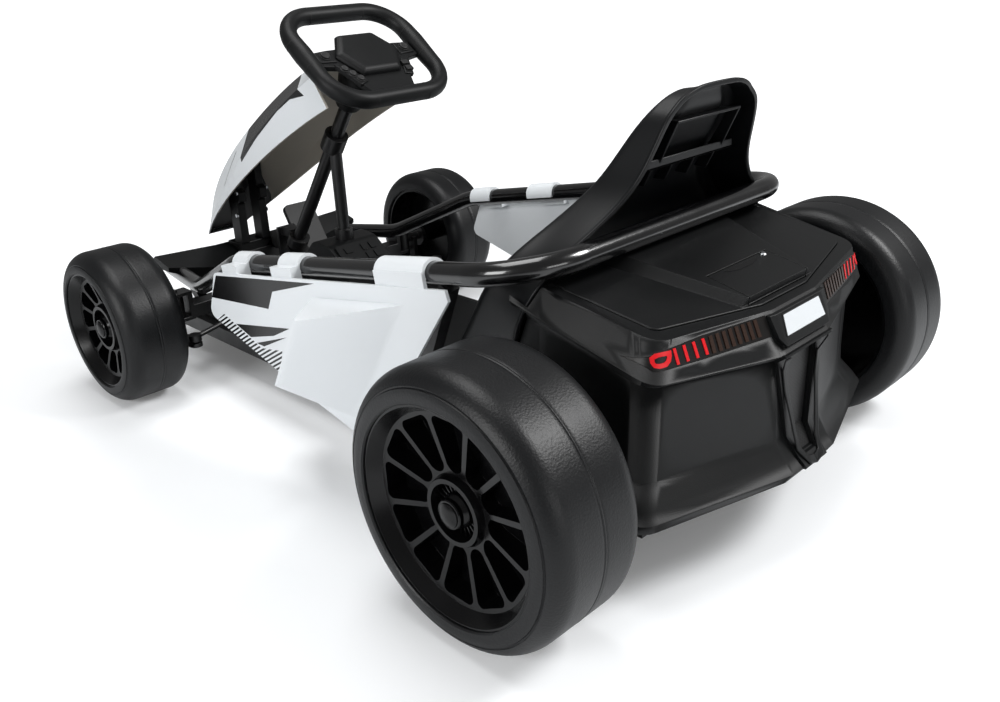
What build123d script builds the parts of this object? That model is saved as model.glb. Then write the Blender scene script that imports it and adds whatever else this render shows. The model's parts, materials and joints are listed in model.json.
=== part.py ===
# Child's electric drift kart, seen as an assembly of separate pieces.
# Millimetres. +X is the kart's left, the front faces -Y, +Z is up.
# The origin is on the ground, midway between the nose tip and the rear lip.
# Lengths along the kart are given from the rear axle, positive to the rear.
# Those of the front end are counted from the front axle and turned by ahead().

from build123d import *
import os
from math import cos, pi, radians, sin

standing = (Align.CENTER, Align.CENTER, Align.MIN)      # on its base

# Overall layout
wheelbase = 828
nose_ahead = 274             # front axle to the nose tip
tail_reach = 168             # rear axle to the rear lip
rear_axle_y = (wheelbase + nose_ahead - tail_reach) / 2
front_axle_y = rear_axle_y - wheelbase


def ahead(y):
    """A length counted from the front axle, as one from the rear axle."""
    return y - wheelbase


# Wheels
rear_wheel_radius = 148
rear_tyre_width = 123
rear_outer_x = 405           # outer face of the rear tyres
rear_sidewall = 33           # tread to rim
front_wheel_radius = 120
front_tyre_width = 102
front_outer_x = 380
front_sidewall = 29
tyre_shoulder = 27           # radius of the outer shoulder
inner_shoulder = 21.6
spoke_count = 12
spoke_width = 5
window_corner = 7
rim_wall = 5
rim_inset = 3                # rim edge behind the tyre's face
rim_lip = 14                 # depth of the rim's outer band
dish_depth = 42              # spoke plate's back behind the tyre's face
hub_ring_radius = 35
hub_cap_radius = 18
hub_sleeve = 9               # wall around the axle
shaft_recess = 14            # shaft end behind the rim's edge
running_clearance = 0.1

# Steel tubes
tube_radius = 13
frame_tube = 25              # square lower tube
strut_tube = 16
frame_z = 58                 # centre height of the lower frame
weld_gap = 0.2
floor_thickness = 4
frame_top = frame_z + frame_tube / 2
floor_top = frame_top + floor_thickness
frame_half_width = 170
frame_front = ahead(-157)
frame_rear = 70
cross_tubes = (ahead(188), -330, -60)      # between the two ends of the lower frame
upright_foot_y = -310
upright_top_y = -136
strut_x = 120
rail_half_width = 258        # at the rear hoop
rail_front_half_width = 232
hoop_y = -20
hoop_z = 343
rail_front_y = ahead(208)
rail_front_z = 234
bumper_y = ahead(-212)
bumper_z = 126
bumper_half_width = 146
bumper_side = (204, ahead(28), 150)        # where the tube passes inside the front wheel
tube_bends = [50, 110, 110, 80]

# Axles and steering
axle_radius = 10
battery_gap = 7.5            # under the axle
through = 2 * rear_outer_x + 90    # length of a cut that passes the whole kart
kingpin_x = 240
kingpin_radius = 5
barrel_radius = 12
barrel_height = 36
yoke_gap = 0.4               # above and below the kingpin barrel
yoke_plate = 6
beam_depth = 28
beam_height = 22
beam_drop = 11               # beam's middle below the axle
stub_radius = 8
hub_flange_radius = 20
steering_arm_length = 80
steering_arm_z = 80
arm_plate = 6
arm_x = kingpin_x + 16
stud_height = 2
stud_gap = 1.5               # from the stud up to the rod's eye
column_tilt = 37             # steering wheel plane above the horizontal
hub_z = 503                  # steering wheel centre
column_foot_y = ahead(-3.4)
column_foot_z = 162.8
column_radius = 11
column_length = (hub_z - column_foot_z) / cos(radians(column_tilt))
hub_y = column_foot_y + column_length * sin(radians(column_tilt))
drop_arm_length = 65
drop_arm_half_width = 15     # half the distance between the two rod pins
pin_radius = 4
rod_radius = 4
rod_eye_radius = 10
rod_eye_height = 10
rod_gap = 0.5
brace_distance = 172         # wheel centre to the brace, down the column
brace_radius = 10
brace_collar_radius = 19
brace_collar_length = 30
socket_radius = 15
socket_height = 34
socket_depth = 20            # below the console's crest
bearing_radius = 18
bearing_length = 22
bearing_wall_y = -28         # from the front axle
bearing_arm_z = column_foot_z + 21.2

# Steering wheel
grip_half_width = 115
grip_half_height = 102
grip_radius = 12.5
grip_corner = 66
hub_plate = 12               # thickness
hub_plate_top = 14           # above the wheel's middle
hub_window = (75, -37, 24, 38)             # middle x, y, width, height
pad_half_width = 58
pad_half_height = 42
hub_plate_back = 10          # below the wheel's plane
pad_base = 2                 # above it
pad_side = 5
pad_top = 12

# Console, pedal, nose and footrest
console_top_z = 209
console_half_width = 48
console_front = ahead(86)
console_shoulder_z = 165
console_crest = ahead(128)
console_slope = [(ahead(170), 205), (ahead(216), 168)]     # the switch panel's seat
console_rear = ahead(228)
console_round = 22
switch_plate = (82, 48, 4)
key_height = 2
key_table = [
    # across, up the slope, width, height
    (-26, 8, 12, 14), (-10, 8, 12, 14), (-26, -10, 12, 14), (-10, -10, 12, 14),
    (22, 7, 32, 14), (22, -11, 14, 12)]
pedal_x = -78
pedal_foot_y = ahead(-38)
pedal_foot_z = 84
pedal_lean = 31
pedal_plate = (62, 104, 9)
pedal_plate_start = 40       # up the slope from its foot
pedal_stem = (40, 30, 52)
nose_sections = [
    # from the front axle, height of the fold, half width, crown, band below the fold
    (-258, 150, 32, 8, 1),
    (-140, 238, 64, 44, 12),
    (-22, 327, 78, 42, 28),
    (102, 410, 82, 34, 42),
    (226, 478, 82, 24, 52)]
nose_slope = 36
nose_flat = 0.62             # share of the width that is flat
nose_wall = 4
post_y = ahead(-160)
post_half_width = 34
post_depth = 44
post_top = 152
post_arm = (22, ahead(-148))               # middle x, y
post_lug_z = 240
cover_y = (ahead(-142), ahead(-64))        # low cover ahead of the column's foot
cover_top = 133
cover_width = 60
wing_inner_x = 36
wing_outer_x = frame_half_width + 28
wing_low = [(ahead(-172), 150), (ahead(-102), 116)]
wing_high = [(ahead(-157), 148), (ahead(-157), 156), (ahead(-142), 168), (ahead(-97), 156), (ahead(-97), 148)]

# Seat
seat_wall = 4
bolster_width = 24
scoop_depth = 14             # recess between the bolsters, along and down
seam_z = 424                 # backrest above, base below
# side view: distance from the rear axle, height
seat_front = [(8, 503), (-20, 458), (-80, 362), (-113, 306), (-150, 243), (-222, 168), (-335, 138)]
seat_rear = [(-335, floor_top), (-180, floor_top), (-112, 140), (-74, 240), (31, 503)]
# rear view: half width, height
seat_edge = [(46, 503), (70, 490), (88, 464), (92, 440), (104, 416), (128, 392), (161, 357), (200, 335),
             (222, 305), (222, 250), (186, 150), (168, floor_top)]
seat_corner = 8

# Side pods
pod_plane_x = 266            # inner face of the thin side panel
pod_wall = 4
pod_reach = 56               # how far the crest stands out from the panel
clip_wall = 4
clip_gap = 0.3
clip_table = [
    # middle of each clip, length
    (-580, 44), (-446, 52), (-205, 92)]
# side view: distance from the rear axle, height
pod_outline = [(-623, 228), (-653, 159), (-495, 117), (-391, 93), (-319, 78), (-288, 88), (-179, 218),
               (-121, 298), (-125, 310)]
pod_root = [(-376, 247), (-189, 280), (-300, 98), (-440, 108)]
pod_crest = [(-342, 240), (-336, 240), (-402, 134), (-408, 134)]

# Rear body
body_wall = 6
body_half_width = frame_half_width + 46
body_levels = [
    # height, slope, beyond the half width at the rear and at the front, front edge, rear corner, rear middle
    (88, 0, 18, 18, -70, 106, 160),
    (101, 0, 22, 22, -70, 110, tail_reach),
    (112, 0, 16, 16, -71, 104, 158),
    (134, 0, 0, 0, -73, 92, 144),
    (238, 15.7, -4, 4, -79, 92, 138),
    (250, 15.7, 3, 11, -80, 104, 150),
    (289, 11.3, -12, -4, -86, 98, 128)]
body_centre_panel = 46       # half width of the flat middle of the rear
body_corner = 26
body_middle_round = 12
top_rear_y = 98              # rear edge of the sloping top, at its height
top_rear_z = 288
top_slope = 11.3             # the top rises towards the seat
top_wall = 16
deck_recess = 9
deck_proud = 1.5
deck_gap = 1
# across and along the top, from the top's rear edge
deck_outline = [(190, -176), (198, -124), (188, -14), (46, 20)]
deck_corner = 12
hump_table = [
    # along the top, half width at the base and at the crest, height
    (-150, 122, 108, 14),
    (10, 74, 62, 10)]
hatch_front = -44
hatch_rear = 12
hatch_half = 60
hatch_gap = 1
hatch_ledge = 8
# rear view: half width, height
lamp_outline = [(58, 258), (58, 279), (150, 281), (196, 279), (216, 270), (210, 261), (150, 259)]
lamp_depth = 4
lamp_gap = 0.3
plate_outline = [(57, 279), (53, 256), (45, 246)]
plate_proud = 6
grille_outline = [(34, 226), (13, 112)]
frame_outline = [(51, 237), (46, 222), (22, 98)]
frame_proud = 4
gearbox_x = body_half_width + 20
gearbox_radius = 38
motor_radius = 22
motor_y = -52


def from_axle(y):
    return rear_axle_y + y


def mirrored(shape):
    return mirror(shape, Plane.YZ)


def placed(x, y, z):
    return Pos(x, from_axle(y), z)


def write(name, shape):
    solids = shape.solids()
    whole = solids[0] if len(solids) == 1 else Compound(children=list(solids))
    export_step(whole, f"parts/{name}.step")


def outline_face(points, grow=0):
    """Face inside a closed outline of straight lines, grown by a small amount."""
    face = make_face(Polyline(*points, close=True))
    return offset(face, grow) if grow else face


def both_sides(points):
    """An outline given for one half, with its mirrored half."""
    return points + [(-x, y) for x, y in reversed(points)]


# Wheels, built about the X axis with the outer face at x = 0 and +X outwards

def tyre(radius, width, rim_radius):
    s, inner_s = tyre_shoulder, inner_shoulder
    outline = Polyline((0, rim_radius), (0, radius - s))
    shoulder = CenterArc((-s, radius - s), s, 0, 90)
    tread = Line((-s, radius), (-width + inner_s, radius))
    back = CenterArc((-width + inner_s, radius - inner_s), inner_s, 90, 90)
    closing = Polyline((-width, radius - inner_s), (-width, rim_radius), (0, rim_radius))
    face = make_face(Wire([outline.edges()[0], shoulder, tread, back, *closing.edges()]))
    return revolve(Plane.XY * face, Axis.X, 360)


def spoke_slots(inner, outer, depth):
    """Tapered windows between the spokes, rounded at both ends."""
    pitch = 2 * pi / spoke_count
    r_in = inner * sin(pitch / 2) - spoke_width / 2
    half_out = outer * sin(pitch / 2) - spoke_width / 2
    window = outline_face([(inner, -r_in), (outer, -half_out), (outer, half_out), (inner, r_in)])
    window += Pos(inner, 0) * Circle(r_in)
    window = fillet(window.vertices().group_by(Axis.X)[-1], window_corner)
    cutter = extrude(Plane.YZ * window, depth)
    return [Rot(360 * i / spoke_count, 0, 0) * cutter for i in range(spoke_count)]


def rim(rim_radius, width, bore):
    lip = -rim_inset
    band = lip - rim_lip
    back = -dish_depth
    seat = rim_radius - rim_wall
    sleeve = bore + hub_sleeve
    ring = hub_ring_radius
    barrel = outline_face([
        (lip, rim_radius - 0.2), (lip, rim_radius - 3), (band, seat - 7), (back, seat - 7),
        (back, seat), (-width + 4, seat), (-width + 4, rim_radius - 0.2)])
    plate = outline_face([
        (back, bore), (back, seat - 6), (band, seat - 6), (band - 8, ring + 3), (band, ring),
        (band, ring - 5), (band - 18, ring - 7), (band - 18, hub_cap_radius), (band - 6, hub_cap_radius),
        (band + 2, hub_cap_radius - 6), (band + 2, bore)])
    floor = outline_face([(back - 3, bore), (back - 3, seat - 6), (back, seat - 6), (back, bore)])
    tube = outline_face([(back, bore), (back, sleeve), (-width + rim_lip, sleeve), (-width + rim_lip, bore)])
    dish = revolve(plate, Axis.X, 360)
    for window in spoke_slots(ring + 16, seat - 12, dish_depth):
        dish -= Pos(back, 0, 0) * window
    return dish + [revolve(face, Axis.X, 360) for face in (barrel, floor, tube)]


def wheel_nodes(name, side, radius, width, outer_x, axle_y, rim_radius, bore):
    seat = Pos(outer_x, axle_y, radius)
    pieces = {"tyre": tyre(radius, width, rim_radius), "rim": rim(rim_radius, width, bore)}
    for kind, piece in pieces.items():
        solid = seat * piece
        write(f"{kind}_{name}", solid if side > 0 else mirrored(solid))


# Perimeter tube and lower frame

def rail_point(y):
    """Middle of the side rail at a distance from the rear axle."""
    part_way = (y - rail_front_y) / (hoop_y - rail_front_y)
    x = rail_front_half_width + part_way * (rail_half_width - rail_front_half_width)
    return (x, y, rail_front_z + part_way * (hoop_z - rail_front_z))


def half_loop(grow=0):
    points = [(0, bumper_y, bumper_z), (bumper_half_width, bumper_y, bumper_z), bumper_side,
              rail_point(rail_front_y), rail_point(hoop_y), (0, hoop_y, hoop_z)]
    path = FilletPolyline(*points, radius=tube_bends)
    section = Plane(origin=points[0], z_dir=(1, 0, 0)) * Circle(tube_radius + grow)
    return sweep(section, path=path)


def perimeter_tube():
    half = placed(0, 0, 0) * half_loop()
    return half + mirrored(half)


def tube_space():
    """Room for the perimeter tube in the pieces that lie against it."""
    half = half_loop(weld_gap)
    return half + mirrored(half)


def square_tube(start, end, size=frame_tube):
    direction = Vector(*end) - Vector(*start)
    plane = Plane(origin=start, z_dir=direction)
    return extrude(plane * Rectangle(size, size), direction.length)


def lower_frame():
    w, z = frame_half_width, frame_z
    half = frame_tube / 2
    solid = square_tube((w, frame_front, z), (w, frame_rear, z))
    solid += mirrored(solid)
    for y in (frame_front + half, *cross_tubes, frame_rear - half):
        solid += square_tube((-w, y, z), (w, y, z))
    top_x, top_y, top_z = rail_point(upright_top_y)
    upright = square_tube((w + 8, upright_foot_y, z), (top_x, top_y, top_z - tube_radius), strut_tube)
    nose_strut = square_tube((strut_x, frame_front + half, z), (strut_x, bumper_y + 4, bumper_z), strut_tube)
    rear_leg = square_tube((w, 0, z), (w, 0, rear_wheel_radius + axle_radius + 6))
    body_bottom, body_front = body_levels[0][0], body_levels[0][4]
    riser = Pos(w, body_front + body_wall / 2, frame_top) * Box(
        40, 2 * body_wall, body_bottom - frame_top, align=standing)
    for piece in (upright, nose_strut, rear_leg, riser):
        solid += piece + mirrored(piece)
    solid -= tube_space()
    solid -= Pos(0, 0, rear_wheel_radius) * Rot(0, 90, 0) * Cylinder(axle_radius + weld_gap, 800)
    return placed(0, 0, 0) * solid


def floor_pan():
    half = frame_half_width - 2
    start, corner = body_levels[0][4] - body_wall, ahead(-52)
    outline = outline_face(both_sides([(half, start), (half, corner), (half - 40, frame_front)]))
    pan = Pos(0, 0, frame_top) * extrude(outline, floor_thickness)
    struts = Pos(0, frame_front, frame_top) * Box(2 * (strut_x + 20), 60, 40)
    return placed(0, 0, 0) * (pan - struts)


# Front axle, knuckles and tie rods

def axle_beam():
    z = front_wheel_radius
    ear = barrel_height / 2 + yoke_gap
    web_x = kingpin_x - barrel_radius - 8
    beam = Pos(0, 0, z - beam_drop) * Box(2 * web_x, beam_depth, beam_height)
    yoke = Pos(web_x, 0, z) * Box(8, beam_depth, 2 * (ear + yoke_plate))
    for side in (1, -1):
        plate = Pos((web_x + kingpin_x) / 2, 0, z + side * (ear + yoke_plate / 2))
        yoke += plate * Box(kingpin_x - web_x, beam_depth, yoke_plate)
        yoke += Pos(kingpin_x, 0, z + side * (ear + yoke_plate / 2)) * Cylinder(beam_depth / 2, yoke_plate)
    yoke += Pos(kingpin_x, 0, z) * Cylinder(kingpin_radius, 2 * (ear + yoke_plate) + 8)
    leg_top = z - beam_drop - beam_height / 2
    leg = Pos(frame_half_width - 22, 0, (leg_top + floor_top) / 2) * Box(30, beam_depth, leg_top - floor_top)
    return Pos(0, front_axle_y, 0) * (beam + yoke + mirrored(yoke) + leg + mirrored(leg))


def knuckle():
    z = front_wheel_radius
    stub_end = front_outer_x - rim_inset - shaft_recess
    barrel = Pos(kingpin_x, 0, z) * Cylinder(barrel_radius, barrel_height)
    stub = Pos((kingpin_x + stub_end) / 2, 0, z) * Rot(0, 90, 0) * Cylinder(stub_radius, stub_end - kingpin_x)
    flange_x = front_outer_x - front_tyre_width + 3
    flange = Pos(flange_x, 0, z) * Rot(0, 90, 0) * Cylinder(hub_flange_radius, 8)
    arm_top = steering_arm_z + arm_plate / 2
    neck_height = z - steering_arm_z
    neck = Pos(kingpin_x + 20, 8, z - neck_height / 2) * Box(8, 16, neck_height + arm_plate)
    arm_outline = SlotCenterToCenter(steering_arm_length - 8, 20)
    arm = Pos(arm_x, 8 + (steering_arm_length - 8) / 2, steering_arm_z) * Rot(0, 0, 90) * extrude(
        arm_outline, arm_plate / 2, both=True)
    stud = Pos(arm_x, steering_arm_length, arm_top) * Cylinder(
        pin_radius, stud_height, align=standing)
    solid = barrel + stub + flange + neck + arm + stud
    solid -= Pos(kingpin_x, 0, z) * Cylinder(kingpin_radius + running_clearance, barrel_height + 2)
    return Pos(0, front_axle_y, 0) * solid


def column_plane():
    """Plane of the steering wheel: z towards the driver, x to the kart's right."""
    tilt = radians(column_tilt)
    return Plane(origin=(0, from_axle(hub_y), hub_z), x_dir=(-1, 0, 0), z_dir=(0, sin(tilt), cos(tilt)))


def column_point(along, across=0, lateral=0):
    """Point on or beside the column axis: along is down the column, across is to the rear and down."""
    tilt = radians(column_tilt)
    y = hub_y - along * sin(tilt) + across * cos(tilt)
    z = hub_z - along * cos(tilt) - across * sin(tilt)
    return (lateral, y, z)


def eye_point():
    stud_top = steering_arm_z + arm_plate / 2 + stud_height
    return (arm_x, ahead(steering_arm_length), stud_top + stud_gap + rod_eye_height / 2)


def tie_rod():
    drop = column_length - 2
    below = arm_plate / 2 + rod_gap + rod_eye_height / 2
    inner = column_point(drop + below, drop_arm_length, drop_arm_half_width)
    outer = eye_point()
    tilt = radians(column_tilt)
    rod_line = Vector(*outer) - Vector(*inner)
    rod = extrude(Plane(origin=inner, z_dir=rod_line) * Circle(rod_radius), rod_line.length)
    inner_plane = Plane(origin=inner, z_dir=(0, sin(tilt), cos(tilt)))
    inner_eye = extrude(inner_plane * Circle(rod_eye_radius), rod_eye_height / 2, both=True)
    hole = extrude(inner_plane * Circle(pin_radius + running_clearance), rod_eye_height, both=True)
    outer_eye = Pos(*outer) * Cylinder(rod_eye_radius, rod_eye_height)
    return placed(0, 0, 0) * ((rod + inner_eye + outer_eye) - hole)


def steering_column():
    plane = column_plane()
    shaft = extrude(plane.offset(-column_length) * Circle(column_radius), column_length - hub_plate)
    boss = loft([plane.offset(-46) * Circle(20), plane.offset(-hub_plate_back - weld_gap) * Circle(31)])
    drop_plane = plane.offset(-column_length + 2)
    pin_places = [Pos(side * drop_arm_half_width, -drop_arm_length) for side in (1, -1)]
    rounds = [Circle(17)] + [place * Circle(11) for place in pin_places]
    arm_face = drop_plane * make_hull([piece.edge() for piece in rounds])
    arm = extrude(arm_face, arm_plate / 2, both=True)
    pins = [drop_plane * place * Pos(0, 0, -6.5) * Cylinder(pin_radius, 14) for place in pin_places]
    return shaft + boss + arm + pins


def wheel_rim():
    """Grip with a plate that fills the wheel below its side spokes."""
    plane = column_plane()
    inside = RectangleRounded(2 * (grip_half_width - grip_radius), 2 * (grip_half_height - grip_radius),
                              grip_corner - grip_radius)
    path = plane * inside.wire()
    section = Plane(origin=path @ 0, z_dir=path % 0) * Circle(grip_radius)
    grip = sweep(section, path=path)
    x, y, width, height = hub_window
    opening = Pos(0, hub_plate_top + grip_half_height) * Rectangle(2 * grip_half_width, 2 * grip_half_height)
    face = inside - opening
    for side in (1, -1):
        face -= Pos(side * x, y) * RectangleRounded(width, height, 7)
    return grip + extrude(plane.offset(-hub_plate_back) * face, hub_plate)


def wheel_pad():
    plane = column_plane()
    w, h = pad_half_width, pad_half_height
    outline = outline_face([(w, 6), (w * 0.62, h), (-w * 0.62, h), (-w, 6), (-w * 0.7, -h), (w * 0.7, -h)])
    base = fillet(outline.vertices(), 10)
    side = extrude(plane.offset(pad_base) * base, pad_side)
    return side + loft([plane.offset(pad_base + pad_side) * base, plane.offset(pad_top) * scale(base, 0.86)])


def column_brace():
    """Post from the console up to a collar in which the column turns."""
    y, top_z = column_point(brace_distance)[1:]
    foot = placed(0, y, console_top_z - socket_depth)
    post = foot * Cylinder(brace_radius, top_z - console_top_z + socket_depth, align=standing)
    socket = foot * Cylinder(socket_radius, socket_height, align=standing)
    middle = column_plane().offset(-brace_distance)
    collar = middle * Cylinder(brace_collar_radius, brace_collar_length)
    bore = middle * Cylinder(column_radius + running_clearance, 3 * brace_collar_length)
    return post + collar - bore + socket


def column_bearing():
    """Bearing for the column's lower end, carried in front of the drop arm by a bracket on the beam."""
    plane = column_plane()
    block = extrude(plane.offset(8 - column_length) * Circle(bearing_radius), bearing_length)
    bore = extrude(plane.offset(-column_length) * Circle(column_radius + running_clearance), 60)
    wall_y, arm_z, axle_z = bearing_wall_y, bearing_arm_z, front_wheel_radius
    foot = Pos(0, wall_y / 2, axle_z) * Box(36, -wall_y, 6, align=standing)
    wall = Pos(0, wall_y, axle_z) * Box(36, 6, arm_z + 14 - axle_z, align=standing)
    arm = Pos(0, wall_y / 2 + 2, arm_z) * Box(24, -wall_y + 6, 14, align=standing)
    return block + Pos(0, front_axle_y, 0) * (foot + wall + arm) - bore


# Front end

def console():
    profile = outline_face([
        (console_front, floor_top), (console_front, console_shoulder_z), (console_crest, console_top_z),
        *console_slope, (console_rear, floor_top)])
    profile = fillet(profile.vertices().sort_by(Axis.Y)[-2:], console_round)
    hump = placed(0, 0, 0) * extrude(Plane.YZ * profile, console_half_width, both=True)
    hole = Cylinder(socket_radius + weld_gap, 2 * socket_height, align=standing)
    return hump - placed(0, column_point(brace_distance)[1], console_top_z - socket_depth) * hole


def switch_panel():
    start, end = [Vector(0, *point) for point in console_slope]
    run = end - start
    face = Plane(origin=(start + end) * 0.5, x_dir=(1, 0, 0), z_dir=(0, -run.Z, run.Y))
    width, height, thickness = switch_plate
    plate = extrude(face * RectangleRounded(width, height, 4), thickness)
    for x, y, w, h in key_table:
        plate += extrude(face.offset(thickness) * Pos(x, y) * RectangleRounded(w, h, 2), key_height)
    return placed(0, 0, 0) * plate


def pedal():
    lean = radians(pedal_lean)
    width, height, thickness = pedal_plate
    origin = (pedal_x, pedal_foot_y, pedal_foot_z)
    foot = Plane(origin=origin, x_dir=(-1, 0, 0), z_dir=(0, cos(lean), sin(lean)))
    outline = Pos(0, pedal_plate_start + height / 2) * RectangleRounded(width, height, 10)
    plate = extrude(foot * outline, thickness)
    stem = Box(*pedal_stem, align=standing)
    return placed(0, 0, 0) * (plate + Pos(pedal_x, pedal_foot_y - 24, floor_top) * stem)


def nose_solid(inset):
    """Crowned shield with hanging side bands, or its inside when inset is the wall."""
    slope = radians(nose_slope)
    reaches = [-2 * inset, 0, 0, 0, 2 * inset]
    faces = []
    for (y, z, half, crown, band), reach in zip(nose_sections, reaches):
        origin = (0, ahead(y) + reach * cos(slope), z + reach * sin(slope))
        plane = Plane(origin=origin, x_dir=(1, 0, 0), z_dir=(0, -cos(slope), -sin(slope)))
        w, base = half - inset, -band - 2 * inset
        points = [(-w, base), (-w, 0), (-w * nose_flat, crown - inset)]
        faces.append(plane * outline_face(points + [(-x, y) for x, y in reversed(points)]))
    return loft(faces)


def nose_shell():
    return nose_solid(0) - nose_solid(nose_wall)


def nose_panel():
    return placed(0, 0, 0) * nose_shell()


def nose_post():
    """Block on the frame with two arms up to the inside of the nose, which is bolted to their lugs."""
    arm_x, arm_y = post_arm
    start, end = cover_y
    foot = Box(2 * post_half_width, post_depth, post_top - frame_top, align=standing)
    foot = Pos(0, post_y, frame_top) * foot
    cover = Box(cover_width, end - start, cover_top - floor_top, align=standing)
    cover = Pos(0, (start + end) / 2, floor_top) * cover
    arm = Pos(arm_x, arm_y, post_top) * Box(16, 30, 180, align=standing) - nose_shell()
    arm = arm.solids().sort_by(Axis.Z)[0]
    lug = Pos(arm_x, arm_y + 8, post_lug_z) * Rot(0, 90, 0) * extrude(RegularPolygon(18, 6), 8, both=True)
    side = arm + (lug - nose_shell())
    return placed(0, 0, 0) * (foot + cover + side + mirrored(side))


def foot_wing():
    """One side of the front footrest: a wedge swept back towards the wheel."""
    front = bumper_y + tube_radius + weld_gap
    low = outline_face([(front, floor_top), (front, 118), *wing_low, (wing_low[-1][0], floor_top)])
    inner = Plane.YZ.offset(wing_inner_x) * low
    outer = Plane.YZ.offset(wing_outer_x) * outline_face(wing_high)
    return placed(0, 0, 0) * (loft([inner, outer]) - tube_space())


# Side pods

def pod_panel():
    outline = outline_face(pod_outline)
    outline = fillet(outline.vertices().sort_by(Axis.X)[:2], 12)
    return extrude(Plane.YZ.offset(pod_plane_x) * outline, pod_wall)


def pod_box():
    """Stands out at its front edge and runs flush into the panel at its rear."""
    base = Plane.YZ.offset(pod_plane_x + pod_wall / 2)
    crest = Plane.YZ.offset(pod_plane_x + pod_reach)
    return loft([base * outline_face(pod_root), crest * outline_face(pod_crest)], ruled=True)


def pod_clips():
    """Hooks over the rail, each with a web out to the side panel."""
    run = Vector(*rail_point(hoop_y)) - Vector(*rail_point(rail_front_y))
    bore = tube_radius + clip_gap
    clips = []
    for y, length in clip_table:
        middle = rail_point(y)
        hook = Circle(bore + clip_wall) - Circle(bore)
        hook -= Pos(0, 30) * Rectangle(80, 52)
        web_end = pod_plane_x + pod_wall / 2 - middle[0]
        hook += Pos((bore + web_end) / 2, 8) * Rectangle(web_end - bore, 26)
        section = Plane(origin=middle, x_dir=(1, 0, 0), z_dir=run)
        clips.append(extrude(section * hook, length / 2, both=True))
    return clips


def side_pod():
    return placed(0, 0, 0) * (pod_panel() + pod_box() + pod_clips() - tube_space())


# Seat

def seat_side(points, grow=0):
    """Prism across the kart from an outline drawn in the side view."""
    return extrude(Plane.YZ * outline_face(points, grow), 300, both=True)


def seat_width(grow=0):
    """Prism along the kart from the seat's outline in the rear view."""
    face = fillet(outline_face(both_sides(seat_edge)).vertices(), seat_corner)
    return extrude(Plane.XZ * (offset(face, grow) if grow else face), 600, both=True)


def seat_form(grow=0):
    return seat_side(seat_front + seat_rear, grow) & seat_width(grow)


def set_back(depth):
    """The seat's front line moved into the seat."""
    return [(y + depth, z - depth) for y, z in seat_front]


def seat_shell():
    scoop = seat_side(set_back(scoop_depth) + [(-600, 120), (-600, 520)]) & seat_width(-bolster_width)
    behind = set_back(scoop_depth + seat_wall)
    front_end = (seat_front[-1][0] + seat_wall, behind[-1][1])
    hollow = seat_side([(200, behind[0][1]), *behind[:-1], front_end, (front_end[0], 0), (200, 0)])
    return seat_form() - scoop - (hollow & seat_width(-seat_wall)) - tube_space()


def seat_parts():
    shell = placed(0, 0, 0) * seat_shell()
    above = placed(0, 0, seam_z) * Box(500, 500, 300, align=standing)
    return {"seat_base": shell - above, "seat_backrest": shell & above}


# Rear body

def sloped_plane(height, slope):
    """Plane at a height over the top's rear edge, rising towards the seat: x across, y to the rear."""
    a = radians(slope)
    return Plane(origin=(0, top_rear_y, height), x_dir=(1, 0, 0), z_dir=(0, sin(a), cos(a)))


def top_plane(height=0):
    return sloped_plane(top_rear_z, top_slope).offset(height)


def body_form(grow=0, top_drop=0):
    """The rear body's outer form, grown outwards by a small amount and cut at its sloping top."""
    faces = []
    for height, slope, rear_out, front_out, front, corner, middle in body_levels:
        rear_half = body_half_width + rear_out + grow
        front_half = body_half_width + front_out + grow
        along = [y - top_rear_y for y in (front - grow, corner + grow, middle + grow)]
        section = outline_face(both_sides([
            (front_half, along[0]), (rear_half, along[1]), (body_centre_panel, along[2])]))
        section = fillet(section.vertices().group_by(Axis.Y)[-1], body_middle_round)
        corners = section.vertices().filter_by(lambda v: abs(abs(v.X) - rear_half) < 0.01)
        section = fillet(corners, body_corner)
        faces.append(sloped_plane(height, slope) * section)
    above = extrude(top_plane(-top_drop) * Rectangle(through, through), 200)
    return loft(faces, ruled=True) - above


def facing_rear(points, grow=0):
    """A prism along the kart, cut from an outline drawn in the rear view (x, height)."""
    view = Plane(origin=(0, 30, 0), x_dir=(1, 0, 0), z_dir=(0, -1, 0))
    return extrude(view * outline_face(points, grow), -220)


def skin(points, proud, depth, grow=0):
    """A slice of the rear body's surface behind an outline."""
    return (body_form(proud) & facing_rear(points, grow)) - Pos(0, -depth, 0) * body_form()


def deck_slab(gap, low, high):
    """Slice of the lid between two heights over the sloping top."""
    plan = outline_face(both_sides(deck_outline), -gap)
    return extrude(top_plane(low) * fillet(plan.vertices(), deck_corner), high - low)


def rear_hump():
    a = radians(top_slope)
    faces = []
    for along, base, crest, height in hump_table:
        start = top_plane() * Pos(0, along, 0)
        section = Plane(origin=start.position, x_dir=(1, 0, 0), z_dir=(0, -cos(a), sin(a)))
        faces.append(section * outline_face(both_sides([(base, -deck_recess), (base, 0), (crest, height)])))
    return loft(faces)


def hatch_block(gap, low, high):
    width = 2 * (hatch_half - gap)
    length = hatch_rear - hatch_front - 2 * gap
    block = Box(width, length, high - low, align=standing)
    return top_plane() * Pos(0, (hatch_front + hatch_rear) / 2, low) * block


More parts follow.
